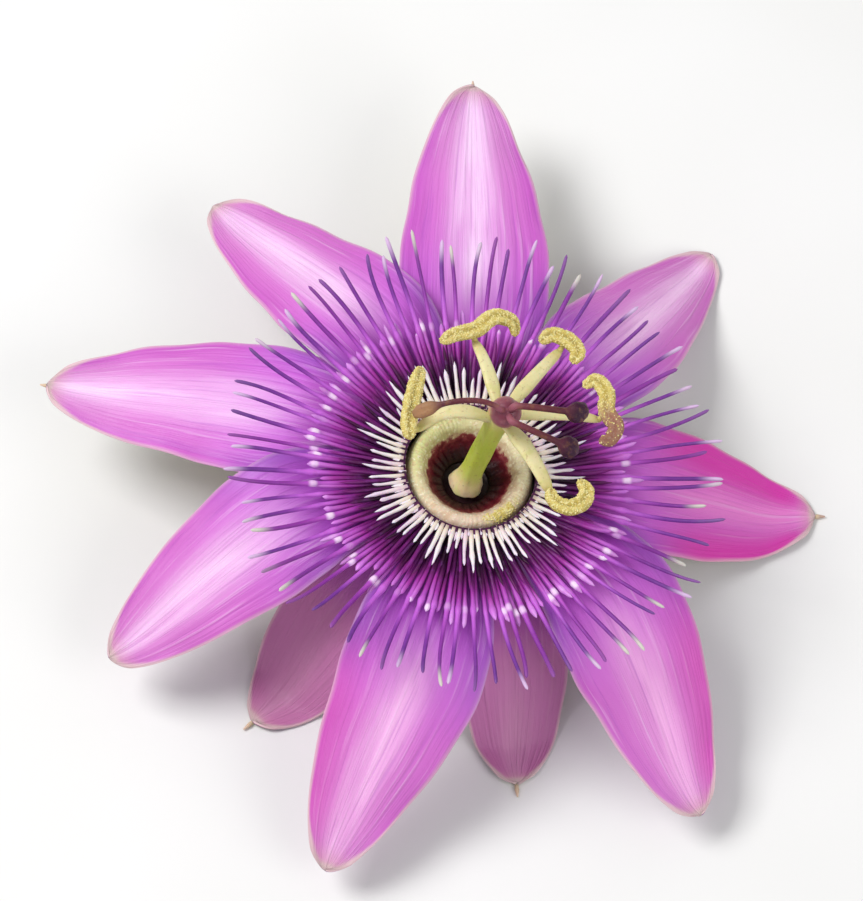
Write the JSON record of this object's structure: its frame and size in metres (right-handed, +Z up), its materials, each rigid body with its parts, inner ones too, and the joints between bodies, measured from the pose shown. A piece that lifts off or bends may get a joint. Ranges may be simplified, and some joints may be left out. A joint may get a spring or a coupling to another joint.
{
  "type": "passion flower",
  "caption": "Open violet passion flower, picked with a short stalk and laid face up, with sepals, petals, filament corona and raised stamens.",
  "frame": {"origin": "middle of the box at the surface that the flower lies on", "axes": "+Z up, out of the bloom's face; +X the way that the bloom leans; -Y towards the viewer"},
  "size_m": [0.102, 0.1082, 0.041],
  "materials": {
    "sepal": "satin",
    "petal": "satin",
    "long_filament": "matte",
    "short_filament": "satin",
    "nectary": "satin",
    "calyx": "satin",
    "bract": "matte",
    "stalk": "satin",
    "column": "satin",
    "stamen": "satin",
    "anther": "matte",
    "style": "satin"
  },
  "bodies": {
    "root": {"sepal_1": "sepal", "sepal_2": "sepal", "sepal_3": "sepal", "sepal_4": "sepal", "sepal_5": "sepal", "petal_1": "petal", "petal_2": "petal", "petal_3": "petal", "petal_4": "petal", "petal_5": "petal", "calyx_cup": "calyx", "corona_outer": "long_filament", "corona_inner": "short_filament", "nectary": "nectary", "column": "column", "ovary": "column", "stamen_1": "stamen", "stamen_2": "stamen", "stamen_3": "stamen", "stamen_4": "stamen", "stamen_5": "stamen", "anther_1": "anther", "anther_2": "anther", "anther_3": "anther", "anther_4": "anther", "anther_5": "anther", "style_1": "style", "style_2": "style", "style_3": "style", "bract_1": "bract", "bract_2": "bract", "bract_3": "bract", "stalk": "stalk"}
  },
  "joints": []
}
